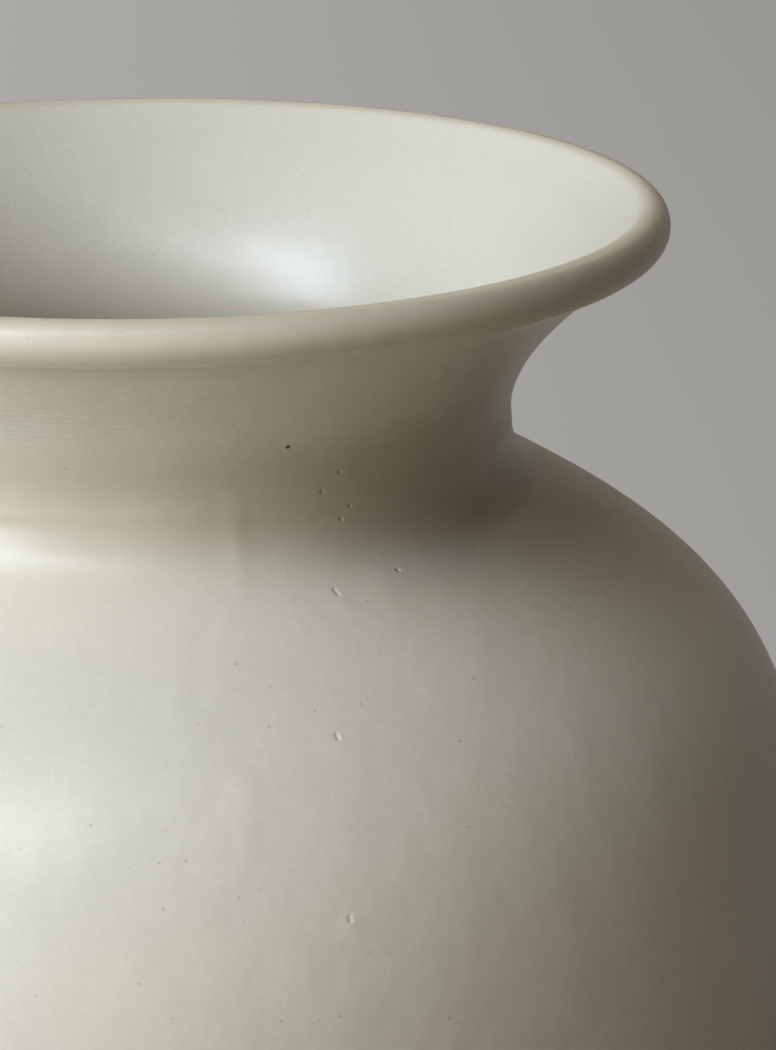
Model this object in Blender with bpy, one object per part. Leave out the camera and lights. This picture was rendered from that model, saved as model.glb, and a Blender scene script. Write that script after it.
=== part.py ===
# A wide-mouthed amphora vase in glazed stoneware, built as a potter builds it:
# thrown sections that are stacked and luted together with slip.
# Metres, +Z up. The origin is the centre of the face that the vase stands on.

import math

import bmesh
import bpy
from mathutils import Vector

# Heights above the resting face, and outside radii; the neck's height is from its foot to the lip's top
HEIGHT = 0.2600
RIM_RADIUS = 0.0800
NECK_HEIGHT = 0.0402
CORNER_RADIUS = 0.0563
CORNER_HEIGHT = HEIGHT - NECK_HEIGHT
BELLY_RADIUS = 0.1035
BELLY_HEIGHT = 0.1520
HEEL_RADIUS = 0.0535
FOOT_RADIUS = 0.0520
FOOT_HEIGHT = 0.0080

# Lip: a coil rolled over the edge of the flare, with a crease under it
LIP_WIDTH = 0.0062
LIP_DEPTH = 0.0070
CREASE_INSET = 0.0069
CREASE_DROP = 0.0051
LIP_UNDER_ANGLE = -78.0

# Slopes of the outline as it runs down, in degrees: 0 points at the axis, 90 straight down
FLARE_SLOPE = 38.2
NECK_FOOT_SLOPE = 88.5
SHOULDER_SLOPE = 150.7
BELLY_SLOPE = 90.0
HEEL_SLOPE = 68.0

# How far each end of a curve holds its slope before it turns
FLARE_PULL = 0.0253
NECK_FOOT_PULL = 0.0018
SHOULDER_PULL = 0.0317
BELLY_PULL_ABOVE = 0.0382
BELLY_PULL_BELOW = 0.0600
HEEL_PULL = 0.0450

# Walls
NECK_WALL = 0.0052
BODY_WALL = 0.0055
FLOOR_THICKNESS = 0.0090
FOOT_WIDTH = 0.0080

# Joints: the slip between two sections, and the step that centres one in the other
LUTE_GAP = 0.0003
LIP_STEP = 0.0016
NECK_STEP = 0.0025
BELLY_STEP = 0.0030
FLOOR_STEP = 0.0030
FOOT_STEP = 0.0020

# Small rounds and bevels
CORNER_FILLET = 0.0095
THROAT_PULL = 0.0050
FOOT_BEVEL = 0.0008

# Facets
TURN_STEPS = 48
LIP_STEPS = 10
NECK_STEPS = 9
FILLET_STEPS = 5
THROAT_STEPS = 4
SHOULDER_STEPS = 9
LOWER_STEPS = 10
LEAST_FACET = 0.0010
SHARP_ANGLE = 32.0
WELD = 0.000001

# Colour (linear), roughness and metallic value of each finish
GLAZE = ((0.600, 0.530, 0.415, 1.0), 0.34, 0.0)
BARE_CLAY = ((0.585, 0.470, 0.335, 1.0), 0.88, 0.0)

UP = Vector((0.0, 1.0))
OUT = Vector((1.0, 0.0))


def heading(slope):
    """Unit direction of an outline that runs down at this slope."""
    return Vector((-math.cos(math.radians(slope)), -math.sin(math.radians(slope))))


def inwards(way):
    """Unit direction through the wall, from the outer face to the inner face."""
    return Vector((way.y, -way.x))


def arc(centre, radii, start, end, steps):
    """Points on an ellipse about centre, from one angle in degrees to another."""
    points = []
    for step in range(steps + 1):
        angle = math.radians(start + (end - start) * step / steps)
        points.append(centre + Vector((radii[0] * math.cos(angle), radii[1] * math.sin(angle))))
    return points


def curve(start, start_slope, start_pull, end, end_slope, end_pull, steps):
    """Points on a cubic curve that leaves start and reaches end at the given slopes."""
    first = start + heading(start_slope) * start_pull
    second = end - heading(end_slope) * end_pull
    points = []
    for step in range(steps + 1):
        t = step / steps
        u = 1.0 - t
        points.append(start * u**3 + first * (3 * u * u * t) + second * (3 * u * t * t) + end * t**3)
    return points


def inner_face(outer, wall):
    """Points of a wall's inner face, one for each inner point of the outline."""
    ways = [(below - above).normalized() for above, below in zip(outer[:-2], outer[2:])]
    return [point + inwards(way) * wall for point, way in zip(outer[1:-1], ways)]


def between(points, top, bottom):
    """The points that lie clearly below top and above bottom."""
    return [point for point in points if bottom.y + LEAST_FACET < point.y < top.y - LEAST_FACET]


def seam(outer, inner, up, step):
    """The facing ends of a joint from the outer face inwards: the lower section's and the upper's.

    The lower section's inner half lies step below its outer half, or above it if step is negative.
    """
    middle = outer.lerp(inner, 0.5)
    drop = up * -step
    slip = up * LUTE_GAP
    play = (inner - outer).normalized() * math.copysign(LUTE_GAP, step)
    lower = [outer, middle, middle + drop, inner + drop]
    upper = [outer + slip, middle + play + slip, middle + play + drop + slip, inner + drop + slip]
    return lower, upper


def wall_seam(outer, slope, wall, step):
    """A joint square to a wall that runs down at this slope."""
    way = heading(slope)
    return seam(outer, outer + inwards(way) * wall, -way, step)


# Points that the sections share
LIP_CENTRE = Vector((RIM_RADIUS - LIP_WIDTH / 2, HEIGHT - LIP_DEPTH / 2))
CREASE = Vector((RIM_RADIUS - CREASE_INSET, LIP_CENTRE.y - CREASE_DROP))
CORNER = Vector((CORNER_RADIUS, CORNER_HEIGHT))
CORNER_REACH = CORNER_FILLET * math.tan(math.radians(SHOULDER_SLOPE - NECK_FOOT_SLOPE) / 2)
NECK_FOOT = CORNER - heading(NECK_FOOT_SLOPE) * CORNER_REACH
SHOULDER_TOP = CORNER + heading(SHOULDER_SLOPE) * CORNER_REACH
BELLY = Vector((BELLY_RADIUS, BELLY_HEIGHT))
HEEL = Vector((HEEL_RADIUS, FOOT_HEIGHT + LUTE_GAP))
HEEL_SINE = math.sin(math.radians(HEEL_SLOPE))
FLOOR_EDGE = HEEL - heading(HEEL_SLOPE) * ((FLOOR_THICKNESS - FLOOR_STEP) / HEEL_SINE)
FOOT_INNER_RADIUS = FOOT_RADIUS - FOOT_WIDTH

# Joints, from the top down
NECK_RIM_END, LIP_END = wall_seam(CREASE, FLARE_SLOPE, NECK_WALL, LIP_STEP)
SHOULDER_RIM_END, NECK_FOOT_END = wall_seam(NECK_FOOT, NECK_FOOT_SLOPE, NECK_WALL, NECK_STEP)
LOWER_RIM_END, SHOULDER_FOOT_END = wall_seam(BELLY, BELLY_SLOPE, BODY_WALL, BELLY_STEP)
FLOOR_RIM_END, LOWER_FOOT_END = seam(
    FLOOR_EDGE, FLOOR_EDGE - OUT * (BODY_WALL / HEEL_SINE), UP, -FLOOR_STEP
)


def finish(name, values):
    colour, roughness, metallic = values
    material = bpy.data.materials.new(name)
    material.use_nodes = True
    shader = material.node_tree.nodes["Principled BSDF"]
    shader.inputs["Base Color"].default_value = colour
    shader.inputs["Roughness"].default_value = roughness
    shader.inputs["Metallic"].default_value = metallic
    return material


def turned(name, profile, values):
    """A section on the wheel: its profile spun round the axis. A profile that meets the axis is open there."""
    shape = bmesh.new()
    corners = [shape.verts.new((point.x, 0.0, point.y)) for point in profile]
    sides = [shape.edges.new(pair) for pair in zip(corners[:-1], corners[1:])]
    if profile[0].x > WELD:
        sides.append(shape.edges.new((corners[-1], corners[0])))
    bmesh.ops.spin(
        shape,
        geom=corners + sides,
        cent=(0.0, 0.0, 0.0),
        axis=(0.0, 0.0, 1.0),
        angle=2 * math.pi,
        steps=TURN_STEPS,
        use_merge=True,
    )
    bmesh.ops.remove_doubles(shape, verts=shape.verts[:], dist=WELD)
    bmesh.ops.recalc_face_normals(shape, faces=shape.faces[:])
    mesh = bpy.data.meshes.new(name)
    shape.to_mesh(mesh)
    shape.free()
    mesh.shade_smooth()
    mesh.set_sharp_from_angle(angle=math.radians(SHARP_ANGLE))
    mesh.materials.append(finish(name, values))
    section = bpy.data.objects.new(name, mesh)
    bpy.context.scene.collection.objects.link(section)
    return section


def make_lip():
    half_width = LIP_WIDTH / 2
    half_depth = LIP_DEPTH / 2
    flare = heading(FLARE_SLOPE)
    inner_tangent = math.degrees(math.atan2(-flare.x * half_depth, flare.y * half_width))
    roll = arc(LIP_CENTRE, (half_width, half_depth), LIP_UNDER_ANGLE, inner_tangent, LIP_STEPS)
    turned("lip", roll + LIP_END[::-1], GLAZE)


def make_neck():
    outer = curve(
        CREASE, FLARE_SLOPE, FLARE_PULL, NECK_FOOT_END[0], NECK_FOOT_SLOPE, NECK_FOOT_PULL, NECK_STEPS
    )
    inner = between(inner_face(outer, NECK_WALL), NECK_RIM_END[-1], NECK_FOOT_END[-1])
    turned("neck", outer[:-1] + NECK_FOOT_END + inner[::-1] + NECK_RIM_END[:0:-1], GLAZE)


def make_shoulder():
    centre = NECK_FOOT - inwards(heading(NECK_FOOT_SLOPE)) * CORNER_FILLET
    fillet = arc(
        centre, (CORNER_FILLET, CORNER_FILLET), NECK_FOOT_SLOPE + 90, SHOULDER_SLOPE + 90, FILLET_STEPS
    )
    outer = curve(
        SHOULDER_TOP, SHOULDER_SLOPE, SHOULDER_PULL,
        SHOULDER_FOOT_END[0], BELLY_SLOPE, BELLY_PULL_ABOVE, SHOULDER_STEPS,
    )
    under = SHOULDER_TOP + inwards(heading(SHOULDER_SLOPE)) * BODY_WALL
    throat = curve(
        SHOULDER_RIM_END[-1], NECK_FOOT_SLOPE, THROAT_PULL, under, SHOULDER_SLOPE, THROAT_PULL, THROAT_STEPS
    )
    inner = between(inner_face(outer, BODY_WALL), under, SHOULDER_FOOT_END[-1])
    upper = throat[::-1] + SHOULDER_RIM_END[-2:0:-1]
    turned("shoulder", fillet + outer[1:-1] + SHOULDER_FOOT_END + inner[::-1] + upper, GLAZE)


def make_lower_body():
    outer = curve(
        BELLY, BELLY_SLOPE, BELLY_PULL_BELOW, LOWER_FOOT_END[0], HEEL_SLOPE, HEEL_PULL, LOWER_STEPS
    )
    inner = between(inner_face(outer, BODY_WALL), LOWER_RIM_END[-1], LOWER_FOOT_END[-1])
    turned("lower_body", outer[:-1] + LOWER_FOOT_END + inner[::-1] + LOWER_RIM_END[:0:-1], GLAZE)


def make_floor_disc():
    boss_radius = FOOT_INNER_RADIUS - LUTE_GAP
    boss_height = HEEL.y - FOOT_STEP
    profile = [
        Vector((0.0, FLOOR_RIM_END[2].y)),
        *FLOOR_RIM_END[2::-1],
        HEEL,
        Vector((boss_radius, HEEL.y)),
        Vector((boss_radius, boss_height + FOOT_BEVEL)),
        Vector((boss_radius - FOOT_BEVEL, boss_height)),
        Vector((0.0, boss_height)),
    ]
    turned("floor_disc", profile, GLAZE)


def make_foot_ring():
    profile = [
        Vector((FOOT_RADIUS, FOOT_HEIGHT)),
        Vector((FOOT_RADIUS, FOOT_BEVEL)),
        Vector((FOOT_RADIUS - FOOT_BEVEL, 0.0)),
        Vector((FOOT_INNER_RADIUS + FOOT_BEVEL, 0.0)),
        Vector((FOOT_INNER_RADIUS, FOOT_BEVEL)),
        Vector((FOOT_INNER_RADIUS, FOOT_HEIGHT)),
    ]
    turned("foot_ring", profile, BARE_CLAY)


def main():
    for item in list(bpy.data.objects):
        bpy.data.objects.remove(item, do_unlink=True)
    make_lip()
    make_neck()
    make_shoulder()
    make_lower_body()
    make_floor_disc()
    make_foot_ring()


main()
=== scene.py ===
import math
import random

import bmesh
import bpy
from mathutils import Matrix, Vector
from mathutils.kdtree import KDTree


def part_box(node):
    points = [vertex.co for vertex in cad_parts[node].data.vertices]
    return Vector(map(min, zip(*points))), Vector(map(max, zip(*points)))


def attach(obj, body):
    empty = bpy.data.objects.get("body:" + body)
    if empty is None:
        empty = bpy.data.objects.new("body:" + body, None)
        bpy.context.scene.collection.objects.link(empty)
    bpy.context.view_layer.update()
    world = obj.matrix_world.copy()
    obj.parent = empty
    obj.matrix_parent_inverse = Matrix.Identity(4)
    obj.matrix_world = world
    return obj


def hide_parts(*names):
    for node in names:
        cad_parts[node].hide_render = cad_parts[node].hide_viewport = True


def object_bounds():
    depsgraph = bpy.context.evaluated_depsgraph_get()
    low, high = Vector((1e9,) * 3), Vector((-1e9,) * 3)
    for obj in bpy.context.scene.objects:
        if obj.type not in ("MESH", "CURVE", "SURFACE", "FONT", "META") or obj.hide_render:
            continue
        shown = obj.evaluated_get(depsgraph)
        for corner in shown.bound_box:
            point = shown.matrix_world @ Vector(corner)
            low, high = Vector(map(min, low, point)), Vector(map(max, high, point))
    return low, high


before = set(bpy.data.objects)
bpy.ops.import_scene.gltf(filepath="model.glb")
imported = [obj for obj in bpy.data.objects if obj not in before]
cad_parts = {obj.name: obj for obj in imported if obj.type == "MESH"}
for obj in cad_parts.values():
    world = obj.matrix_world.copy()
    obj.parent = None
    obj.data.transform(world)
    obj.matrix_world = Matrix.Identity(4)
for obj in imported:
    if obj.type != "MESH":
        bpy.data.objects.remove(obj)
CAD_LOW, CAD_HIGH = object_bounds()

bl_info = {
    "name": "Thrown amphora vase",
    "version": (1, 0, 0),
    "blender": (4, 5, 0),
    "location": "View3D > Sidebar > Vase",
    "description": "Dresses the packed vase: a satin glazed vessel with pits and runs, and a bare clay foot",
    "category": "Add Mesh",
}

# Facets, the plane that shrinks to an outline's first point, and the angle past which an edge is sharp
TURN_STEPS = 160
LIP_STEPS = 26
CREASE_STEPS = 4
NECK_STEPS = 30
FILLET_STEPS = 16
SHOULDER_STEPS = 44
LOWER_STEPS = 56
FLOOR_STEPS = 14
BEAD_STEPS = 6
FOOT_STEPS = 5
WELD = 0.000002
FIRST_PLANE = 0.001
SHARP_ANGLE = 50.0

# Finer facets round the marks: how far from each one, and the cuts across a face
BROAD_REACH = 0.0020
BROAD_CUTS = 3
SHARP_REACH = 0.0005
SHARP_CUTS = 4

# Throwing rings, faint outside and stronger inside below the neck
OUTER_RING_PITCH = 0.0046
OUTER_RING_DEPTH = 0.000018
INNER_RING_PITCH = 0.0062
INNER_RING_DEPTH = 0.00022

# Throwing rings: the pitches over which they fade in, how far they drift and the pitches of one drift
RING_FADE = 2
RING_DRIFT = 0.6
RING_DRIFT_PITCHES = 3.7

# Hand-made waviness of the whole wall: its size, its depth, and the share of it that goes inwards
WAVE_SIZE = 0.045
WAVE_DEPTH = 0.00022
WAVE_LEVEL = 0.75

# Lip: the angle where its roll ends, the tuck into the crease under it, and the blend into the inside
LIP_END = -74.0
TUCK_SLOPE = 16.0
TUCK_PULLS = (0.0007, 0.0006)
BLEND_PULLS = (0.0020, 0.0016)

# Bottom: height of the straight heel as a share of the floor's thickness, fullness of the sweep into the
# floor, the bead of glaze over the foot, and the glazed underside: its drop, the glaze pooled in its corner
# as (in from the foot, down), and its rings as shares of a radius
HEEL_RISE = 2 / 3
SWEEP_FULLNESS = 0.6
BEAD_RADIUS = 0.0009
UNDERSIDE_DROP = 0.0020
UNDERSIDE_FILLET = ((0.0, 0.0007), (0.0003, 0.0003), (0.0010, 0.0))
UNDERSIDE_RINGS = (0.66, 0.33, 0.0)

# Foot: its outer face as (depth in tool marks, share of the height), and the lines turned under it
FOOT_FACE = (
    (2.0, 1.00), (2.0, 0.86), (2.4, 0.82), (0.4, 0.78), (0.0, 0.60),
    (1.0, 0.55), (0.0, 0.50), (0.0, 0.36), (0.8, 0.33), (0.0, 0.30),
)
FOOT_LINES = (0.30, 0.52, 0.74)
LINE_HALF_WIDTH = 0.0002

# The photograph's frame, in pixels, and its camera: distances from the rim in metres, turns in radians
IMAGE_WIDTH = 776
IMAGE_HEIGHT = 1050
SENSOR = 0.036
CAMERA_DISTANCE = 0.640
CAMERA_ABOVE_RIM = 0.1431
CAMERA_YAW = 0.0585
CAMERA_PITCH = 0.2910

# Marks in the glaze where the photograph shows them: pixel across, pixel down
IRON_SPECK = (288, 447)
SHADE_PITS = ((339, 472), (322, 491), (350, 506), (341, 519), (398, 570))
DARK_DOTS = (
    (367, 601), (474, 679), (237, 664), (361, 704), (315, 711), (269, 727), (460, 741), (66, 469),
    (469, 827), (576, 755), (575, 901), (578, 970), (662, 978), (281, 1021), (340, 1016), (449, 1019),
    (569, 607), (159, 863), (186, 861), (239, 898), (163, 909), (139, 984), (91, 825),
)
SOFT_DIMPLE = (475, 549)
SLITS = (((337, 734), (338, 739)), ((350, 917), (350, 921)), ((334, 589), (338, 594)))
MOUNDS = ((338, 747), (351, 927), (343, 604))
RUNS = (((235, 500), (236, 540), (242, 588)), ((245, 780), (244, 870)))
HOLLOW = ((200, 636), (200, 668), (199, 698))

# Fine marks of the fingers under the flare: heights that they lie between, their spacing and that of the
# texture's own bands, how soon they fade as the wall turns upright, their depth, and how they wander
FINGER_LOW = 0.2300
FINGER_HIGH = 0.2520
FINGER_PITCH = 0.0009
BAND_SPACING = math.pi / 10
FINGER_GAIN = 3.0
FINGER_DEPTH = 0.00002
FINGER_WANDER = {"Distortion": 3.0, "Detail": 2.0, "Detail Scale": 0.2}

# Marks on the sides that the photograph doesn't show: how many, and the seed that spreads them
OTHER_PITS = (24, 4)
OTHER_DOTS = (60, 8)
OTHER_DIMPLES = (8, 23)
OTHER_IRON = (4, 31)

# Where those marks may lie: lowest and highest, the bounds of the directions that the photograph shows,
# and how far from the axis the search for the surface starts
SCATTER_LOW = 0.020
SCATTER_HIGH = 0.245
SHOWN_FRONT = -0.1
SHOWN_LEFT = -0.35
SIGHT_START = 0.3

# Marks: spacing of the points along slits and runs, and widths and depths as shares of a pit's or a run's
SLIT_SPACING = 0.0004
RUN_SPACING = 0.0008
HOLLOW_DEPTH = 0.6
DIMPLE_WIDTH = 2.4
DIMPLE_DEPTH = 0.6
SLIT_DEPTH = 0.6
IRON_WIDTH = 1.05
IRON_DEPTH = 0.2

# Noise of the glaze and the clay: cells to the metre, detail and roughness, and the edges of its steps
CLOUDS = (22.0, 3.0, 0.5)
CLOUD_EDGES = (0.35, 0.70)
MOTTLE = (900.0, 3.0, 0.6)
MOTTLE_EDGES = (0.25, 0.75)
SHEEN = (140.0, 3.0, 0.5)
SHEEN_EDGES = (0.25, 0.75)
SHEEN_RANGE = 0.03
TOAST = (120.0, 3.0, 0.5)
GRIT = (1500.0, 3.0, 0.7)
GRIT_EDGES = (0.30, 0.72)

# Relief in layers: cells to the metre, detail, roughness and depth
GLAZE_RELIEF = ((90.0, 2.0, 0.5, 0.00025), (500.0, 2.0, 0.5, 0.00004))
CLAY_RELIEF = ((1500.0, 4.0, 0.7, 0.00010), (260.0, 3.0, 0.5, 0.00012))

# Specks: cells to the metre, share of cells left empty, and outer and inner radius as shares of a cell
PEPPER = (400.0, 0.68, 0.110, 0.050)
PEPPER_STRENGTH = 0.35
GRAINS = (420.0, 0.84, 0.160, 0.080)
GRAIN_STRENGTH = 0.8
SPECK_SOFTNESS = 0.04

# Tones of single marks: attribute, the values where the tone starts and is full, and its strength
MARK_TONES = (("dot", 0.10, 0.80, 0.55), ("pit", 0.15, 0.90, 0.50), ("iron", 0.15, 0.55, 1.00))

# Glaze on the lip, thin on its crest and outer half, and painted shade in a band under its roll: heights
# from the vase's top, radii from the rim's, and how strong each tone is
LIP_CREST = (-0.0009, -0.0001)
LIP_ROLL = (-0.0085, -0.0068)
LIP_SHADE_BAND = (-0.0068, -0.0052, -0.0042, -0.0024)
LIP_OUTER_HALF = (-0.0055, -0.0025)
CREST_STRENGTH = 0.35
ROLL_STRENGTH = 0.40
LIP_SHADE_STRENGTH = 0.75

# Painted shade in the corner at the neck's foot, weaker inside the throat: heights from the corner, radii
# from the neck's, and its strength inside
CORNER_SHADE_BAND = (-0.0045, 0.0065, 0.0110, 0.0200)
CORNER_SHADE_OUTSIDE = (-0.0035, -0.0010)
CORNER_SHADE_INSIDE_STRENGTH = 0.4

# Toasted clay: heights from the foot's top, how far its edge strays, and its strength
TOAST_EDGES = (-0.0022, 0.0010)
TOAST_STRAY = 0.003
TOAST_STRENGTH = 0.8

# Sockets of a node that mixes colours: factor, first and second colour, and the result
MIX_INPUTS = (0, 6, 7)
MIX_RESULT = 2

# Fixed tones
WHITE = (1.0, 1.0, 1.0)
MOTTLE_TONE = (0.955, 0.955, 0.950)
GRIT_TONE = (0.80, 0.79, 0.77)
GRAIN_TONE = (0.10, 0.06, 0.035)
SKY_LIGHT = (1.0, 0.99, 0.97)

# Floor: its size and surface, the distances over which it turns into the backdrop and then the room, and
# the places across it between which the backdrop darkens
FLOOR_SIZE = 24.0
FLOOR_ROUGHNESS = 0.95
FLOOR_SHINE = 0.1
NEAR_FLOOR = (0.28, 0.55)
FAR_FLOOR = (2.0, 8.0)
BACKDROP_EDGES = (-0.20, 0.45)

# Light: daylight from a broad window at the left, its edge, the room, and what a warm table gives back
DAYLIGHT = (0.68, 0.82, 1.00)
SIDE_LIGHT = (0.82, 0.89, 1.00)
ROOM_LIGHT = (1.00, 0.93, 0.76)
WARM_LIGHT = (1.00, 0.86, 0.52)

# Lamps: how far they hang from the place that they look at, and that place; then name, watts, width of a
# side, azimuth from the camera's side, elevation and colour of each
LAMP_DISTANCE = 1.8
LAMP_AIM = Vector((0.0, 0.0, 0.20))
LAMPS = (
    ("window_low", 15.0, 0.60, -65.0, 12.0, DAYLIGHT),
    ("window_below_middle", 6.0, 0.60, -65.0, 24.0, DAYLIGHT),
    ("window_middle", 11.0, 0.60, -65.0, 36.0, DAYLIGHT),
    ("window_high", 2.5, 0.60, -65.0, 48.0, DAYLIGHT),
    ("window_low_right", 9.5, 0.60, -45.0, 12.0, SIDE_LIGHT),
    ("window_middle_right", 6.5, 0.60, -45.0, 36.0, SIDE_LIGHT),
    ("window_high_right", 4.5, 0.60, -45.0, 48.0, SIDE_LIGHT),
    ("front_high", 3.5, 0.60, -25.0, 48.0, SIDE_LIGHT),
    ("front_low", 0.5, 0.60, -25.0, 0.0, ROOM_LIGHT),
    ("overhead", 2.0, 0.60, -5.0, 62.0, ROOM_LIGHT),
    ("table", 2.0, 0.60, -5.0, 0.0, WARM_LIGHT),
    ("behind_right", 2.5, 1.00, 165.0, 40.0, WARM_LIGHT),
    ("behind_left_low", 3.0, 1.00, -135.0, 5.0, WARM_LIGHT),
    ("behind_left", 1.0, 1.00, -135.0, 40.0, DAYLIGHT),
)


def length(name, description, default, high=1.0):
    return bpy.props.FloatProperty(
        name=name, description=description, default=default, min=0.0, max=high, precision=4, unit="LENGTH"
    )


def slope(name, description, default):
    return bpy.props.FloatProperty(
        name=name, description=description, default=math.radians(default), subtype="ANGLE"
    )


def share(name, description, default, high=1.0):
    return bpy.props.FloatProperty(
        name=name, description=description, default=default, min=0.0, max=high, precision=3, subtype="FACTOR"
    )


def colour(name, description, default):
    return bpy.props.FloatVectorProperty(
        name=name, description=description, default=default, size=3, min=0.0, max=1.0, subtype="COLOR"
    )


class VesselSizes(bpy.types.PropertyGroup):
    """Sizes of the glazed vessel, outside radii and heights above the resting face"""

    height: length("Height", "From the resting face to the top of the lip", CAD_HIGH.z)
    rim_radius: length("Rim radius", "Outside of the lip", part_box("lip")[1].x)
    corner_radius: length("Neck radius", "Where the neck meets the shoulder", 0.0563)
    corner_height: length("Neck height", "Where the neck meets the shoulder", 0.2198)
    belly_radius: length("Belly radius", "Widest part of the body", CAD_HIGH.x)
    belly_height: length("Belly height", "Widest part of the body", 0.1520)
    heel_radius: length("Heel radius", "Where the body meets the foot", 0.0535)
    lip_width: length("Lip width", "Of the rolled lip, across", 0.0062)
    lip_depth: length("Lip depth", "Of the rolled lip, up and down", 0.0070)
    crease_inset: length("Crease inset", "From the rim in to the crease under the lip", 0.0069)
    crease_drop: length("Crease drop", "From the lip's middle down to the crease", 0.0051)
    corner_fillet: length("Corner round", "Radius between neck and shoulder", 0.0095)
    neck_wall: length("Neck wall", "Thickness of the neck's wall", 0.0052)
    body_wall: length("Body wall", "Thickness of the body's wall", 0.0055)
    floor_thickness: length("Floor thickness", "Of the floor inside the vase", 0.0090)
    floor_round: length("Floor round", "How far the wall sweeps into the floor", 0.0120)
    flare_slope: slope("Flare slope", "Of the flare at the lip, from level", 38.2)
    neck_slope: slope("Neck foot slope", "Of the neck at its foot", 88.5)
    shoulder_slope: slope("Shoulder slope", "Of the shoulder at the neck", 150.7)
    heel_slope: slope("Heel slope", "Of the body at the foot", 68.0)
    flare_pull: length("Flare fullness", "How far the flare holds its slope", 0.0253)
    neck_pull: length("Neck foot fullness", "How far the neck's foot holds its slope", 0.0018)
    shoulder_pull: length("Shoulder fullness", "How far the shoulder holds its slope", 0.0317)
    upper_belly_pull: length("Upper belly fullness", "How far the belly holds its slope upwards", 0.0382)
    lower_belly_pull: length("Lower belly fullness", "How far the belly holds its slope downwards", 0.0600)
    heel_pull: length("Heel fullness", "How far the heel holds its slope", 0.0450)
    pit_radius: length("Pit radius", "Of the small pits in the glaze", 0.00050)
    pit_depth: length("Pit depth", "Of the small pits in the glaze", 0.00022)
    dot_radius: length("Dot radius", "Of the dark dots under the glaze", 0.00042)
    mound_radius: length("Mound radius", "Of the low mounds round the slits", 0.0030)
    mound_height: length("Mound height", "Of the low mounds round the slits", 0.00006)
    run_width: length("Run width", "Of the upright ridges where the glaze ran", 0.0026)
    run_height: length("Run height", "Of the upright ridges where the glaze ran", 0.00008)


class FootSizes(bpy.types.PropertyGroup):
    """Sizes and finish of the turned foot"""

    radius: length("Foot radius", "Outside of the foot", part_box("foot_ring")[1].x)
    width: length("Foot width", "Across the ring that the vase stands on", 0.0080)
    height: length("Foot height", "From the resting face to the glazed body", 0.0083)
    edge: length("Foot edge", "Round at the edges of the resting face", 0.0008)
    groove: length("Tool marks", "Depth of the fine turned lines", 0.00010)
    clay: colour("Clay", "Colour of the bare fired clay", (0.585, 0.470, 0.335))
    toasted: colour("Toasted clay", "Colour of the clay just under the glaze", (0.430, 0.290, 0.170))
    roughness: share("Clay roughness", "Of the bare clay", 0.88)


class GlazeFinish(bpy.types.PropertyGroup):
    """Colours and sheen of the glaze, and the tone of its painted shade"""

    body: colour("Glaze", "Main colour", (0.597, 0.534, 0.423))
    thin: colour("Thin glaze", "Where it thins over the lip", (0.520, 0.410, 0.265))
    pooled: colour("Pooled glaze", "Where it lies thicker", (0.622, 0.564, 0.458))
    # painted shade: the dark tone laid in the corner at the neck's foot and in a band under the lip's roll
    corner: colour("Gathered glaze", "At the neck's foot and under the lip", (0.500, 0.425, 0.310))
    iron: colour("Iron specks", "Colour of the specks", (0.060, 0.028, 0.012))
    dots: colour("Dark dots", "Colour of the small dots", (0.300, 0.245, 0.175))
    roughness: share("Glaze roughness", "Of the satin surface", 0.34)
    mottle: share("Mottle", "Strength of the cloudy variation", 0.35)


class StudioSettings(bpy.types.PropertyGroup):
    """Floor, backdrop and lamps"""

    floor: colour("Floor", "Colour of the floor round the vase", (0.425, 0.372, 0.312))
    backdrop_left: colour("Backdrop, left", "Tone on the left", (0.420, 0.411, 0.396))
    backdrop_right: colour("Backdrop, right", "Tone on the right", (0.312, 0.302, 0.292))
    room: colour("Room", "Tone of the far floor and above it", (0.300, 0.277, 0.240))
    lens: bpy.props.FloatProperty(
        name="Lens", description="Focal length in millimetres", default=148.4, min=1.0, max=500.0
    )
    level: bpy.props.FloatProperty(
        name="Level", description="Factor on all the lamps' watts", default=1.0, min=0.0, max=10.0
    )
    sky: bpy.props.FloatProperty(
        name="Sky", description="Strength of the light from all round", default=0.0, min=0.0, max=1.0
    )


# Outlines: a point is (radius, height), and a slope of 0 points at the axis, 90 degrees straight down


def heading(slope_angle):
    """Unit direction of an outline that runs down at this slope."""
    return Vector((-math.cos(slope_angle), -math.sin(slope_angle)))


def inwards(way):
    """Unit direction through the wall, from the outer face to the inner face."""
    return Vector((way.y, -way.x))


def arc(centre, across, up, start, end, steps):
    """Points on an ellipse about centre, from one angle in degrees to another."""
    points = []
    for step in range(steps + 1):
        angle = math.radians(start + (end - start) * step / steps)
        points.append(centre + Vector((across * math.cos(angle), up * math.sin(angle))))
    return points


def curve(start, start_slope, start_pull, end, end_slope, end_pull, steps):
    """Points on a cubic curve that leaves start and reaches end at the given slopes."""
    first = start + heading(start_slope) * start_pull
    second = end - heading(end_slope) * end_pull
    points = []
    for step in range(steps + 1):
        t = step / steps
        u = 1.0 - t
        points.append(start * u**3 + first * (3 * u * u * t) + second * (3 * u * t * t) + end * t**3)
    return points


def joined(*runs):
    """One run of points out of several that meet end to end."""
    points = []
    for run in runs:
        points += [point for point in run if not points or (point - points[-1]).length > WELD]
    return points


def normals(points):
    """Unit directions square to a run of points, through the wall for an outline that runs down."""
    ends = [points[0]] + points + [points[-1]]
    return [inwards((below - above).normalized()) for above, below in zip(ends[:-2], ends[2:])]


def offset(points, walls):
    """The points moved through the wall by the given thicknesses."""
    return [point + way * wall for point, way, wall in zip(points, normals(points), walls)]


def travelled(points):
    """How far along the run each point lies."""
    lengths = [0.0]
    for above, below in zip(points[:-1], points[1:]):
        lengths.append(lengths[-1] + (below - above).length)
    return lengths


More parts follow.
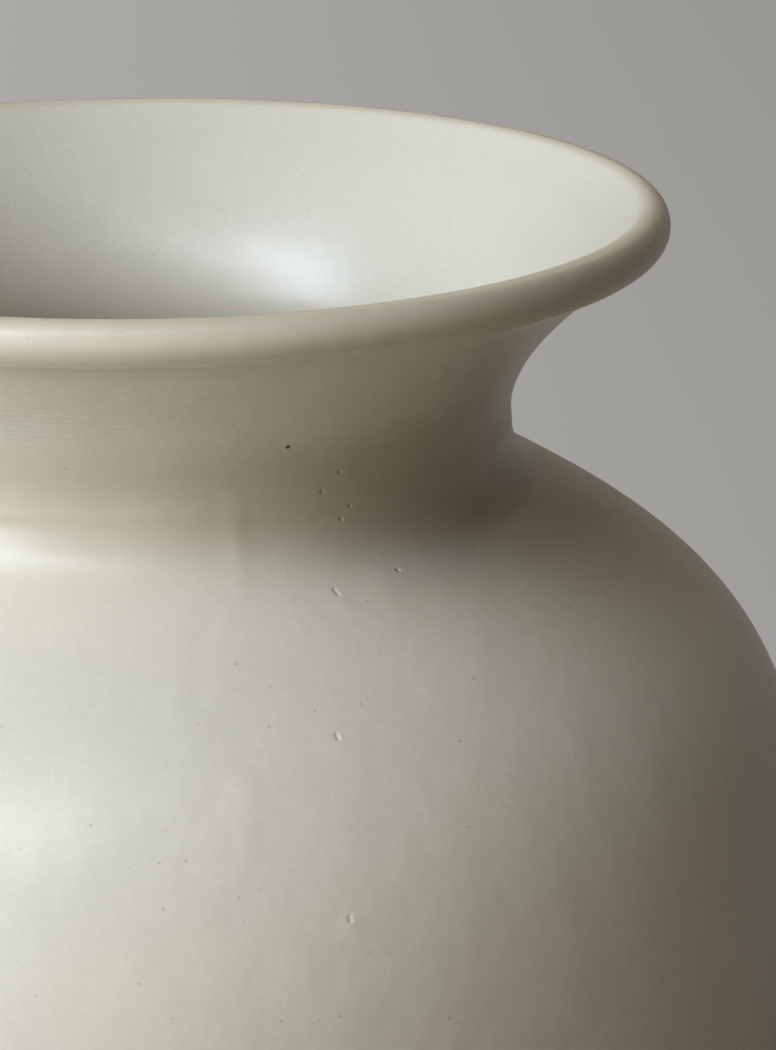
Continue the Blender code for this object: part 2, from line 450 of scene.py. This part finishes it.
def ringed(points, pitch, depth):
    """The points with the low waves that the fingers leave, fading in and out at the ends."""
    lengths = travelled(points)
    fading = RING_FADE * pitch
    waves = []
    for run in lengths:
        fade = min(1.0, run / fading, (lengths[-1] - run) / fading)
        drift = RING_DRIFT * math.sin(run / (RING_DRIFT_PITCHES * pitch) * 2 * math.pi)
        waves.append(depth * fade * (1.0 - math.cos(2 * math.pi * run / pitch + drift)) / 2)
    return offset(points, waves)


def lip_middle(sizes):
    return Vector((sizes.rim_radius - sizes.lip_width / 2, sizes.height - sizes.lip_depth / 2))


def outer_outline(sizes, heel):
    """The flare by itself, and the whole outside, from the crease under the lip down to the heel."""
    crease = Vector((sizes.rim_radius - sizes.crease_inset, lip_middle(sizes).y - sizes.crease_drop))
    corner = Vector((sizes.corner_radius, sizes.corner_height))
    reach = sizes.corner_fillet * math.tan((sizes.shoulder_slope - sizes.neck_slope) / 2)
    neck_foot = corner - heading(sizes.neck_slope) * reach
    shoulder_top = corner + heading(sizes.shoulder_slope) * reach
    belly = Vector((sizes.belly_radius, sizes.belly_height))
    rise = sizes.floor_thickness * HEEL_RISE
    heel_start = heel - heading(sizes.heel_slope) * (rise / math.sin(sizes.heel_slope))
    flare = curve(
        crease, sizes.flare_slope, sizes.flare_pull,
        neck_foot, sizes.neck_slope, sizes.neck_pull, NECK_STEPS,
    )
    fillet = arc(
        neck_foot - inwards(heading(sizes.neck_slope)) * sizes.corner_fillet,
        sizes.corner_fillet,
        sizes.corner_fillet,
        math.degrees(sizes.neck_slope) + 90,
        math.degrees(sizes.shoulder_slope) + 90,
        FILLET_STEPS,
    )
    shoulder = curve(
        shoulder_top, sizes.shoulder_slope, sizes.shoulder_pull,
        belly, math.pi / 2, sizes.upper_belly_pull, SHOULDER_STEPS,
    )
    lower = curve(
        belly, math.pi / 2, sizes.lower_belly_pull,
        heel_start, sizes.heel_slope, sizes.heel_pull, LOWER_STEPS,
    )
    return flare, joined(flare, fillet, shoulder, lower)


def inner_outline(sizes, flare, outer, floor_top):
    """The inside, from under the lip down the wall and over the floor to the axis."""
    neck_end = travelled(flare)[-1]
    walls = []
    for run in travelled(outer):
        low = min(1.0, max(0.0, (run - neck_end) / neck_end))
        walls.append(sizes.neck_wall * (1 - low) + sizes.body_wall * low)
    clear = [point for point in offset(outer, walls) if point.y > floor_top + sizes.floor_round]
    neck_count = NECK_STEPS + FILLET_STEPS
    hidden = ringed(clear[neck_count:], INNER_RING_PITCH, INNER_RING_DEPTH)
    floor_edge = Vector((clear[-1].x - sizes.floor_round, floor_top))
    way = clear[-1] - clear[-2]
    fullness = sizes.floor_round * SWEEP_FULLNESS
    sweep = curve(
        clear[-1], math.atan2(-way.y, -way.x), fullness, floor_edge, 0.0, fullness, FLOOR_STEPS
    )
    radii = [(floor_edge * (1 - step / FLOOR_STEPS)).x for step in range(FLOOR_STEPS)] + [0.0]
    floor = [Vector((radius, floor_top)) for radius in radii]
    return joined(clear[:neck_count], hidden, sweep, ringed(floor, INNER_RING_PITCH, INNER_RING_DEPTH))


def underside_outline(sizes, foot, heel):
    """The bead of glaze over the foot, then the glazed underside of the floor, in to the axis."""
    bead = arc(
        heel + Vector((-BEAD_RADIUS, BEAD_RADIUS)),
        BEAD_RADIUS,
        BEAD_RADIUS,
        math.degrees(sizes.heel_slope) - 90.0,
        -90.0,
        BEAD_STEPS,
    )
    inside = foot.radius - foot.width
    level = heel.y - UNDERSIDE_DROP
    pooled = [Vector((inside - across, level - down)) for across, down in UNDERSIDE_FILLET]
    flat = [Vector((inside * part, level)) for part in UNDERSIDE_RINGS]
    return bead + [Vector((inside, heel.y))] + pooled + flat


def vessel_outline(sizes, foot):
    """The glazed vessel's whole outline: from under the floor, up the outside and down the inside."""
    heel = Vector((sizes.heel_radius, foot.height))
    flare, outer = outer_outline(sizes, heel)
    inside = inner_outline(sizes, flare, outer, foot.height + sizes.floor_thickness)
    flare_way = heading(sizes.flare_slope)
    tangent = math.degrees(
        math.atan2(-flare_way.x * sizes.lip_depth / 2, flare_way.y * sizes.lip_width / 2)
    )
    lip = arc(lip_middle(sizes), sizes.lip_width / 2, sizes.lip_depth / 2, tangent, LIP_END, LIP_STEPS)
    tuck = curve(
        lip[-1], math.radians(TUCK_SLOPE), TUCK_PULLS[0],
        flare[1], sizes.flare_slope, TUCK_PULLS[1], CREASE_STEPS,
    )
    blend = curve(
        lip[0], sizes.flare_slope, BLEND_PULLS[0],
        inside[1], sizes.flare_slope, BLEND_PULLS[1], CREASE_STEPS,
    )
    outside = ringed(outer[1:], OUTER_RING_PITCH, OUTER_RING_DEPTH)
    below = underside_outline(sizes, foot, heel)
    return joined(below[::-1], outside[::-1], tuck[::-1], lip[::-1], blend, inside[2:])


def foot_outline(foot):
    """The foot's outline, from its outer top edge down, under and up its inner face."""
    inside = foot.radius - foot.width
    edge = foot.edge
    outer_face = [
        Vector((foot.radius - foot.groove * depth, foot.height * level)) for depth, level in FOOT_FACE
    ]
    outer_round = arc(Vector((foot.radius - edge, edge)), edge, edge, 0.0, -90.0, FOOT_STEPS)
    standing = []
    for place in FOOT_LINES:
        radius = foot.radius - edge + (inside + 2 * edge - foot.radius) * place
        standing += [
            Vector((radius + LINE_HALF_WIDTH, 0.0)),
            Vector((radius, foot.groove)),
            Vector((radius - LINE_HALF_WIDTH, 0.0)),
        ]
    inner_round = arc(Vector((inside + edge, edge)), edge, edge, -90.0, -180.0, FOOT_STEPS)
    return joined(outer_face, outer_round, standing, inner_round, [Vector((inside, foot.height))])


# Modelling


def let_go():
    """Object mode with nothing selected."""
    if bpy.context.object and bpy.context.object.mode != "OBJECT":
        bpy.ops.object.mode_set(mode="OBJECT")
    bpy.ops.object.select_all(action="DESELECT")


def turned(name, outline, closed):
    """Draws an outline point by point, then spins it round the axis."""
    let_go()
    first = outline[0]
    bpy.ops.mesh.primitive_plane_add(size=FIRST_PLANE)
    piece = bpy.context.object
    piece.name = name
    piece.data.name = name
    bpy.ops.object.mode_set(mode="EDIT")
    bpy.ops.mesh.select_all(action="SELECT")
    bpy.ops.mesh.merge(type="CENTER")
    bpy.ops.transform.translate(value=(first.x, 0.0, first.y))
    for above, below in zip(outline[:-1], outline[1:]):
        step = below - above
        bpy.ops.mesh.extrude_region_move(TRANSFORM_OT_translate={"value": (step.x, 0.0, step.y)})
    bpy.ops.mesh.select_all(action="SELECT")
    if closed:
        ends = bmesh.from_edit_mesh(piece.data)
        for vertex in ends.verts:
            vertex.select_set(len(vertex.link_edges) == 1)
        bmesh.update_edit_mesh(piece.data)
        bpy.ops.mesh.edge_face_add()
        bpy.ops.mesh.select_all(action="SELECT")
    bpy.ops.mesh.spin(
        steps=TURN_STEPS, angle=2 * math.pi, center=(0.0, 0.0, 0.0), axis=(0.0, 0.0, 1.0)
    )
    bpy.ops.mesh.select_all(action="SELECT")
    bpy.ops.mesh.remove_doubles(threshold=WELD)
    bpy.ops.mesh.normals_make_consistent(inside=False)
    bpy.ops.object.mode_set(mode="OBJECT")
    return piece


def smooth(piece):
    let_go()
    piece.select_set(True)
    bpy.context.view_layer.objects.active = piece
    bpy.ops.object.shade_smooth_by_angle(angle=math.radians(SHARP_ANGLE))


def camera_axes():
    """The directions to the right, up and ahead of the photograph's camera."""
    ahead = Vector(
        (
            math.sin(CAMERA_YAW) * math.cos(CAMERA_PITCH),
            math.cos(CAMERA_YAW) * math.cos(CAMERA_PITCH),
            -math.sin(CAMERA_PITCH),
        )
    )
    right = ahead.cross(Vector((0.0, 0.0, 1.0))).normalized()
    return right, right.cross(ahead), ahead


def camera_place(sizes):
    return Vector((0.0, -CAMERA_DISTANCE, sizes.height - sizes.lip_depth / 2 + CAMERA_ABOVE_RIM))


def seen_at(vessel, pixel):
    """The point of the vessel that shows at a pixel of the photograph."""
    scene = bpy.context.scene
    right, up, ahead = camera_axes()
    focal = scene.vase_studio.lens / 1000 / SENSOR * IMAGE_HEIGHT
    sight = ahead * focal + right * (pixel[0] - IMAGE_WIDTH / 2) - up * (pixel[1] - IMAGE_HEIGHT / 2)
    hit, place, _, _ = vessel.ray_cast(camera_place(scene.vase_sizes), sight.normalized())
    if not hit:
        raise RuntimeError("The vessel doesn't show at pixel %s, %s" % pixel)
    return place


def refine(vessel, places, reach, cuts):
    """Cuts the faces within reach of these places into smaller ones that keep the round surface."""
    let_go()
    bpy.context.view_layer.objects.active = vessel
    tree = KDTree(len(places))
    for index, place in enumerate(places):
        tree.insert(place, index)
    tree.balance()
    bpy.ops.object.mode_set(mode="EDIT")
    bpy.ops.mesh.select_mode(type="FACE")
    bpy.ops.mesh.select_all(action="DESELECT")
    shape = bmesh.from_edit_mesh(vessel.data)
    for face in shape.faces:
        corners = [tree.find(vertex.co)[2] for vertex in face.verts]
        if min(corners) < reach or tree.find(face.calc_center_median())[2] < reach:
            face.select_set(True)
    bmesh.update_edit_mesh(vessel.data)
    bpy.ops.mesh.subdivide(number_cuts=cuts, smoothness=1.0)
    bpy.ops.object.mode_set(mode="OBJECT")


def choose(vessel, places):
    """Edit mode, with the vertex nearest to each of these places selected."""
    let_go()
    bpy.context.view_layer.objects.active = vessel
    bpy.ops.object.mode_set(mode="EDIT")
    bpy.ops.mesh.select_mode(type="VERT")
    bpy.ops.mesh.select_all(action="DESELECT")
    shape = bmesh.from_edit_mesh(vessel.data)
    shape.verts.ensure_lookup_table()
    tree = KDTree(len(shape.verts))
    for vertex in shape.verts:
        tree.insert(vertex.co, vertex.index)
    tree.balance()
    for place in places:
        shape.verts[tree.find(place)[1]].select_set(True)
    bmesh.update_edit_mesh(vessel.data)


def press(vessel, places, radius, depth):
    """Presses the surface in at these places, or raises it where depth is negative."""
    choose(vessel, places)
    bpy.ops.transform.shrink_fatten(
        value=-depth,
        use_proportional_edit=True,
        proportional_edit_falloff="SMOOTH",
        proportional_size=radius,
    )
    bpy.ops.object.mode_set(mode="OBJECT")


def along(points, spacing):
    """Places at even spacing along a line of places."""
    places = []
    for start, end in zip(points[:-1], points[1:]):
        count = max(1, round((end - start).length / spacing))
        places += [start.lerp(end, step / count) for step in range(count)]
    return places + [points[-1]]


def scattered(vessel, count, seed):
    """Places spread at random over the outside, away from the side that the photograph shows."""
    chance = random.Random(seed)
    places = []
    while len(places) < count:
        angle = chance.uniform(0.0, 2 * math.pi)
        height = chance.uniform(SCATTER_LOW, SCATTER_HIGH)
        outside = Vector((math.cos(angle), math.sin(angle), 0.0))
        if outside.y < SHOWN_FRONT and outside.x > SHOWN_LEFT:
            continue
        start = outside * SIGHT_START + Vector((0.0, 0.0, height))
        hit, place, _, _ = vessel.ray_cast(start, -outside)
        if hit:
            places.append(place)
    return places


def mark(vessel, name, places, radius):
    """An attribute that is 1 in the middle of each place and falls to 0 at radius."""
    tree = KDTree(len(places))
    for index, place in enumerate(places):
        tree.insert(place, index)
    tree.balance()
    values = vessel.data.attributes.new(name, "FLOAT", "POINT")
    for vertex, value in zip(vessel.data.vertices, values.data):
        value.value = max(0.0, 1.0 - tree.find(vertex.co)[2] / radius)


# Materials


def add(tree, kind, settings=None, inputs=None):
    """A node with its settings, and its inputs set to values or joined to other nodes' outputs."""
    node = tree.nodes.new(kind)
    for name, value in (settings or {}).items():
        setattr(node, name, value)
    for name, value in (inputs or {}).items():
        if isinstance(value, bpy.types.NodeSocket):
            tree.links.new(value, node.inputs[name])
        else:
            node.inputs[name].default_value = value
    return node


def new_material(name):
    material = bpy.data.materials.new(name)
    material.use_nodes = True
    tree = material.node_tree
    return material, tree, tree.nodes["Principled BSDF"]


def solid(values):
    return (*values, 1.0)


def ramp(tree, value, low, high):
    """A smooth step from 0 at low to 1 at high."""
    node = add(
        tree,
        "ShaderNodeMapRange",
        {"interpolation_type": "SMOOTHSTEP"},
        {"Value": value, "From Min": low, "From Max": high, "To Min": 0.0, "To Max": 1.0},
    )
    return node.outputs["Result"]


def mixed(tree, factor, first, second, blend="MIX"):
    node = add(tree, "ShaderNodeMix", {"data_type": "RGBA", "blend_type": blend})
    for index, value in zip(MIX_INPUTS, (factor, first, second)):
        if isinstance(value, bpy.types.NodeSocket):
            tree.links.new(value, node.inputs[index])
        else:
            node.inputs[index].default_value = value
    return node.outputs[MIX_RESULT]


def noise(tree, place, scale, detail, roughness):
    node = add(
        tree,
        "ShaderNodeTexNoise",
        None,
        {"Vector": place, "Scale": scale, "Detail": detail, "Roughness": roughness},
    )
    return node.outputs["Fac"]


def calculated(tree, operation, *values):
    """The result of one operation on numbers or other nodes' outputs."""
    return add(tree, "ShaderNodeMath", {"operation": operation}, dict(enumerate(values))).outputs[0]


def times(tree, value, factor):
    return calculated(tree, "MULTIPLY", value, factor)


def component(tree, place, axis):
    return add(tree, "ShaderNodeSeparateXYZ", None, {"Vector": place}).outputs[axis]


def distance(tree, place):
    """How far a place lies from the origin."""
    return add(tree, "ShaderNodeVectorMath", {"operation": "LENGTH"}, {0: place}).outputs["Value"]


def shifted(origin, steps):
    """The places that lie these steps from origin."""
    return [origin + step for step in steps]


def band(tree, value, start, full, fading, end):
    """1 from full to fading, with a smooth fall to 0 at start and at end."""
    return times(tree, ramp(tree, value, start, full), ramp(tree, value, end, fading))


def attribute(tree, name):
    return add(tree, "ShaderNodeAttribute", {"attribute_name": name}).outputs["Fac"]


def specks(tree, place, scale, rarity, outer, inner):
    """1 inside scattered round specks: cells to the metre, share left out, and radii as shares of a cell."""
    cells = add(tree, "ShaderNodeTexVoronoi", None, {"Vector": place, "Scale": scale})
    split = add(tree, "ShaderNodeSeparateColor", None, {"Color": cells.outputs["Color"]})
    chosen = ramp(tree, split.outputs[0], rarity, rarity + SPECK_SOFTNESS)
    return times(tree, chosen, ramp(tree, cells.outputs["Distance"], outer, inner))


def bumped(tree, height, depth, normal=None):
    inputs = {"Height": height, "Distance": depth, "Strength": 1.0}
    if normal is not None:
        inputs["Normal"] = normal
    return add(tree, "ShaderNodeBump", None, inputs).outputs["Normal"]


def uneven_normal(tree, place, layers):
    """Normals bent by layers of noise, each with its scale, detail, roughness and depth."""
    normal = None
    for scale, detail, roughness, depth in layers:
        normal = bumped(tree, noise(tree, place, scale, detail, roughness), depth, normal)
    return normal


def clouded_tone(tree, place, finish):
    """The glaze's own tone: cloudy and finely mottled."""
    cloud = ramp(tree, noise(tree, place, *CLOUDS), *CLOUD_EDGES)
    tone = mixed(tree, times(tree, cloud, finish.mottle), solid(finish.body), solid(finish.pooled))
    fine = ramp(tree, noise(tree, place, *MOTTLE), *MOTTLE_EDGES)
    return mixed(tree, 1.0, tone, mixed(tree, fine, solid(MOTTLE_TONE), solid(WHITE)), "MULTIPLY")


def lip_glaze_and_painted_shade(tree, tone, height, apart, finish, sizes):
    """Glaze that lies thin on the lip's crest and outer half, and painted shade in a band on its lower part.
    """
    crest = ramp(tree, height, *shifted(sizes.height, LIP_CREST))
    tone = mixed(tree, times(tree, crest, CREST_STRENGTH), tone, solid(finish.thin))
    outer_half = ramp(tree, apart, *shifted(sizes.rim_radius, LIP_OUTER_HALF))
    rolled = times(tree, ramp(tree, height, *shifted(sizes.height, LIP_ROLL)), outer_half)
    tone = mixed(tree, times(tree, rolled, ROLL_STRENGTH), tone, solid(finish.thin))
    # painted shade in a band on the lip's lower outer part
    painted_lip_shade_mask = times(tree, band(tree, height, *shifted(sizes.height, LIP_SHADE_BAND)), outer_half)
    return mixed(tree, times(tree, painted_lip_shade_mask, LIP_SHADE_STRENGTH), tone, solid(finish.corner))


def painted_corner_shade(tree, tone, height, apart, finish, sizes):
    """Painted shade in the corner at the neck's foot, stronger outside than inside the throat."""
    # painted shade: a band of height round the neck's foot, where the flare's shadow falls
    painted_corner_shade_mask = band(tree, height, *shifted(sizes.corner_height, CORNER_SHADE_BAND))
    outside = ramp(tree, apart, *shifted(sizes.corner_radius, CORNER_SHADE_OUTSIDE))
    strength = calculated(
        tree, "MULTIPLY_ADD", outside, 1.0 - CORNER_SHADE_INSIDE_STRENGTH, CORNER_SHADE_INSIDE_STRENGTH
    )
    return mixed(tree, times(tree, strength, painted_corner_shade_mask), tone, solid(finish.corner))


def marked_tone(tree, tone, place, finish):
    """Fine pepper, and the dots, pits and iron specks where the vessel's attributes have them."""
    pepper = specks(tree, place, *PEPPER)
    tone = mixed(tree, times(tree, pepper, PEPPER_STRENGTH), tone, solid(finish.dots))
    for name, start, full, strength in MARK_TONES:
        spot = ramp(tree, attribute(tree, name), start, full)
        tint = finish.iron if name == "iron" else finish.dots
        tone = mixed(tree, times(tree, spot, strength), tone, solid(tint))
    return tone


def glaze_material(finish, sizes):
    """Satin off-white glaze: cloudy, finely mottled, thin over the lip, with iron specks and pinholes, and
    painted shade under the lip's roll and at the neck's foot.
    """
    material, tree, shader = new_material("satin_glaze")
    place = add(tree, "ShaderNodeTexCoord").outputs["Object"]
    height = component(tree, place, "Z")
    level = add(tree, "ShaderNodeVectorMath", {"operation": "MULTIPLY"}, {0: place, 1: (1.0, 1.0, 0.0)})
    apart = distance(tree, level.outputs[0])
    tone = clouded_tone(tree, place, finish)
    # thin glaze on the lip, and painted shade in a band under its roll
    tone = lip_glaze_and_painted_shade(tree, tone, height, apart, finish, sizes)
    # painted shade in the corner at the neck's foot and inside the throat
    tone = painted_corner_shade(tree, tone, height, apart, finish, sizes)
    tree.links.new(marked_tone(tree, tone, place, finish), shader.inputs["Base Color"])

    sheen = add(
        tree,
        "ShaderNodeMapRange",
        None,
        {
            "Value": noise(tree, place, *SHEEN),
            "From Min": SHEEN_EDGES[0],
            "From Max": SHEEN_EDGES[1],
            "To Min": finish.roughness - SHEEN_RANGE,
            "To Max": finish.roughness + SHEEN_RANGE,
        },
    )
    tree.links.new(sheen.outputs["Result"], shader.inputs["Roughness"])
    fingers = add(
        tree,
        "ShaderNodeTexWave",
        {"wave_type": "BANDS", "bands_direction": "Z"},
        {"Vector": place, "Scale": BAND_SPACING / FINGER_PITCH, **FINGER_WANDER},
    ).outputs["Fac"]
    marks = times(tree, fingers, attribute(tree, "fingers"))
    normal = bumped(tree, marks, FINGER_DEPTH, uneven_normal(tree, place, GLAZE_RELIEF))
    tree.links.new(normal, shader.inputs["Normal"])
    return material


def clay_material(foot):
    """Bare fired clay: gritty, toasted just under the glaze, with a few dark grains."""
    material, tree, shader = new_material("fired_clay")
    place = add(tree, "ShaderNodeTexCoord").outputs["Object"]
    edge = calculated(
        tree, "MULTIPLY_ADD", noise(tree, place, *TOAST), TOAST_STRAY, component(tree, place, "Z")
    )
    toast = ramp(tree, edge, *shifted(foot.height, TOAST_EDGES))
    tone = mixed(tree, times(tree, toast, TOAST_STRENGTH), solid(foot.clay), solid(foot.toasted))
    grit = ramp(tree, noise(tree, place, *GRIT), *GRIT_EDGES)
    tone = mixed(tree, 1.0, tone, mixed(tree, grit, solid(GRIT_TONE), solid(WHITE)), "MULTIPLY")
    grains = specks(tree, place, *GRAINS)
    tone = mixed(tree, times(tree, grains, GRAIN_STRENGTH), tone, solid(GRAIN_TONE))
    tree.links.new(tone, shader.inputs["Base Color"])
    shader.inputs["Roughness"].default_value = foot.roughness
    tree.links.new(uneven_normal(tree, place, CLAY_RELIEF), shader.inputs["Normal"])
    return material


def blended(tree, factor, first, second, surface):
    """Joins a blend of two shaders to a surface: the first at 0, the second at 1."""
    blend = add(tree, "ShaderNodeMixShader", None, {0: factor, 1: first.outputs[0], 2: second.outputs[0]})
    tree.links.new(blend.outputs[0], surface)


def dress(piece, material, slot_name, *nodes):
    """Gives a finished piece its material and its body, and hides the CAD nodes that it stands for."""
    piece.data.materials.clear()
    piece.data.materials.append(material)
    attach(piece, "root")
    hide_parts(*nodes)


# Operators


class VASE_OT_vessel(bpy.types.Operator):
    """Turn the glazed vessel and press in its pits and runs"""

    bl_idname = "vase.vessel"
    bl_label = "Glazed vessel"

    def execute(self, context):
        sizes = context.scene.vase_sizes
        vessel = turned("glazed_vessel", vessel_outline(sizes, context.scene.vase_foot), False)
        self.wave(vessel)
        self.weather(vessel, sizes)
        self.finger(vessel)
        smooth(vessel)
        material = glaze_material(context.scene.vase_glaze, sizes)
        dress(vessel, material, "glaze", "lip", "neck", "shoulder", "lower_body", "floor_disc")
        return {"FINISHED"}

    def wave(self, vessel):
        """Low waves over the whole wall, as a hand leaves them."""
        texture = bpy.data.textures.new("hand", "CLOUDS")
        texture.noise_scale = WAVE_SIZE
        wave = vessel.modifiers.new("hand", "DISPLACE")
        wave.texture = texture
        wave.texture_coords = "LOCAL"
        wave.strength = WAVE_DEPTH
        wave.mid_level = WAVE_LEVEL
        let_go()
        vessel.select_set(True)
        bpy.context.view_layer.objects.active = vessel
        bpy.ops.object.modifier_apply(modifier=wave.name)
        bpy.data.textures.remove(texture)

    def finger(self, vessel):
        """An attribute that is 1 under the flare, where the fingers left fine marks."""
        values = vessel.data.attributes.new("fingers", "FLOAT", "POINT")
        middle = (FINGER_LOW + FINGER_HIGH) / 2
        half = (FINGER_HIGH - FINGER_LOW) / 2
        for vertex, value in zip(vessel.data.vertices, values.data):
            apart = abs(vertex.co.z - middle) / half
            under = min(1.0, max(0.0, -FINGER_GAIN * vertex.normal.z))
            value.value = under * max(0.0, 1.0 - apart**2)

    def weather(self, vessel, sizes):
        """Pits, dots, slits, runs and the iron speck, where the photograph shows them and elsewhere."""
        pits = [seen_at(vessel, pixel) for pixel in SHADE_PITS] + scattered(vessel, *OTHER_PITS)
        dots = [seen_at(vessel, pixel) for pixel in DARK_DOTS] + scattered(vessel, *OTHER_DOTS)
        dimples = [seen_at(vessel, SOFT_DIMPLE)] + scattered(vessel, *OTHER_DIMPLES)
        slits = [along([seen_at(vessel, pixel) for pixel in slit], SLIT_SPACING) for slit in SLITS]
        slits = [place for slit in slits for place in slit]
        mounds = [seen_at(vessel, pixel) for pixel in MOUNDS]
        iron = [seen_at(vessel, IRON_SPECK)] + scattered(vessel, *OTHER_IRON)
        runs = [along([seen_at(vessel, pixel) for pixel in run], RUN_SPACING) for run in RUNS]
        ridges = [place for run in runs for place in run]
        hollow = along([seen_at(vessel, pixel) for pixel in HOLLOW], RUN_SPACING)
        broad = ridges + hollow + mounds + dimples
        sharp = pits + dots + slits + iron
        refine(vessel, sharp + broad, BROAD_REACH, BROAD_CUTS)
        refine(vessel, sharp, SHARP_REACH, SHARP_CUTS)
        press(vessel, ridges, sizes.run_width, -sizes.run_height)
        press(vessel, hollow, sizes.run_width, sizes.run_height * HOLLOW_DEPTH)
        press(vessel, mounds, sizes.mound_radius, -sizes.mound_height)
        press(vessel, dimples, sizes.pit_radius * DIMPLE_WIDTH, sizes.pit_depth * DIMPLE_DEPTH)
        press(vessel, pits, sizes.pit_radius, sizes.pit_depth)
        press(vessel, slits, sizes.pit_radius, sizes.pit_depth * SLIT_DEPTH)
        press(vessel, iron, sizes.pit_radius, sizes.pit_depth * IRON_DEPTH)
        mark(vessel, "pit", pits, sizes.pit_radius)
        mark(vessel, "dot", dots, sizes.dot_radius)
        mark(vessel, "iron", iron, sizes.pit_radius * IRON_WIDTH)


class VASE_OT_foot(bpy.types.Operator):
    """Turn the bare clay foot"""

    bl_idname = "vase.foot"
    bl_label = "Clay foot"

    def execute(self, context):
        foot = context.scene.vase_foot
        ring = turned("clay_foot", foot_outline(foot), True)
        smooth(ring)
        dress(ring, clay_material(foot), "bare_clay", "foot_ring")
        return {"FINISHED"}


class VASE_OT_studio(bpy.types.Operator):
    """Lay the floor, hang the lamps and set up the camera"""

    bl_idname = "vase.studio"
    bl_label = "Studio"

    def execute(self, context):
        studio = context.scene.vase_studio
        self.floor(studio)
        self.sky(context.scene, studio)
        for name, watts, side, azimuth, elevation, tint in LAMPS:
            self.lamp(name, studio.level * watts, side, azimuth, elevation, tint)
        self.camera(context.scene, studio)
        context.scene.view_settings.view_transform = "Standard"
        return {"FINISHED"}

    def backdrop(self, tree, studio, place, apart):
        """The plain backdrop's tone: it darkens from left to right, and far off it becomes the room's."""
        side = ramp(tree, component(tree, place, "X"), *BACKDROP_EDGES)
        tone = mixed(tree, side, solid(studio.backdrop_left), solid(studio.backdrop_right))
        return mixed(tree, ramp(tree, apart, *FAR_FLOOR), tone, solid(studio.room))

    def seen(self, tree):
        """1 for rays from the camera, reflections and transmissions."""
        path = add(tree, "ShaderNodeLightPath").outputs
        either = calculated(tree, "MAXIMUM", path["Is Camera Ray"], path["Is Glossy Ray"])
        return calculated(tree, "MAXIMUM", either, path["Is Transmission Ray"])

    def floor(self, studio):
        let_go()
        bpy.ops.mesh.primitive_plane_add(size=FLOOR_SIZE)
        floor = bpy.context.object
        floor.name = "floor"
        material, tree, shader = new_material("floor")
        shader.inputs["Base Color"].default_value = solid(studio.floor)
        shader.inputs["Roughness"].default_value = FLOOR_ROUGHNESS
        shader.inputs["Specular IOR Level"].default_value = FLOOR_SHINE
        place = add(tree, "ShaderNodeTexCoord").outputs["Object"]
        apart = distance(tree, place)
        factor = times(tree, ramp(tree, apart, *NEAR_FLOOR), self.seen(tree))
        tone = self.backdrop(tree, studio, place, apart)
        glow = add(tree, "ShaderNodeEmission", None, {"Color": tone, "Strength": 1.0})
        blended(tree, factor, shader, glow, tree.nodes["Material Output"].inputs["Surface"])
        floor.data.materials.append(material)

    def sky(self, scene, studio):
        world = bpy.data.worlds.new("studio")
        scene.world = world
        world.use_nodes = True
        tree = world.node_tree
        shown = tree.nodes["Background"]
        shown.inputs["Color"].default_value = solid(studio.room)
        shown.inputs["Strength"].default_value = 1.0
        lit = add(
            tree, "ShaderNodeBackground", None, {"Color": solid(SKY_LIGHT), "Strength": studio.sky}
        )
        blended(tree, self.seen(tree), lit, shown, tree.nodes["World Output"].inputs["Surface"])

    def lamp(self, name, watts, side, azimuth, elevation, tint):
        """A soft square lamp that looks at the shoulder; azimuth 0 is on the camera's side."""
        around = math.radians(azimuth)
        up = math.radians(elevation)
        way = Vector(
            (math.sin(around) * math.cos(up), -math.cos(around) * math.cos(up), math.sin(up))
        )
        data = bpy.data.lights.new(name, "AREA")
        data.shape = "SQUARE"
        data.size = side
        data.energy = watts
        data.color = tint
        lamp = bpy.data.objects.new(name, data)
        lamp.location = LAMP_AIM + way * LAMP_DISTANCE
        lamp.rotation_euler = (-way).to_track_quat("-Z", "Y").to_euler()
        bpy.context.scene.collection.objects.link(lamp)

    def camera(self, scene, studio):
        data = bpy.data.cameras.new("camera")
        data.lens = studio.lens
        data.sensor_width = SENSOR * 1000
        camera = bpy.data.objects.new("camera", data)
        camera.location = camera_place(scene.vase_sizes)
        camera.rotation_euler = camera_axes()[2].to_track_quat("-Z", "Y").to_euler()
        scene.collection.objects.link(camera)
        scene.camera = camera


class VASE_PT_sidebar(bpy.types.Panel):
    """The vase's pieces and what can be changed on them"""

    bl_idname = "VASE_PT_sidebar"
    bl_label = "Amphora vase"
    bl_space_type = "VIEW_3D"
    bl_region_type = "UI"
    bl_category = "Vase"

    def draw(self, context):
        scene = context.scene
        for operator, settings in (
            (VASE_OT_vessel, (scene.vase_sizes, scene.vase_glaze)),
            (VASE_OT_foot, (scene.vase_foot,)),
            (VASE_OT_studio, (scene.vase_studio,)),
        ):
            box = self.layout.box()
            box.operator(operator.bl_idname)
            for group in settings:
                for name in group.__annotations__:
                    box.prop(group, name)


CLASSES = (
    VesselSizes, FootSizes, GlazeFinish, StudioSettings,
    VASE_OT_vessel, VASE_OT_foot, VASE_OT_studio, VASE_PT_sidebar,
)
SETTINGS = {
    "vase_sizes": VesselSizes,
    "vase_foot": FootSizes,
    "vase_glaze": GlazeFinish,
    "vase_studio": StudioSettings,
}


def register():
    for item in CLASSES:
        bpy.utils.register_class(item)
    for name, group in SETTINGS.items():
        setattr(bpy.types.Scene, name, bpy.props.PointerProperty(type=group))


def unregister():
    for name in SETTINGS:
        delattr(bpy.types.Scene, name)
    for item in reversed(CLASSES):
        bpy.utils.unregister_class(item)


def main():
    register()
    bpy.ops.vase.vessel()
    bpy.ops.vase.foot()
    bpy.ops.vase.studio()


if __name__ == "__main__":
    main()
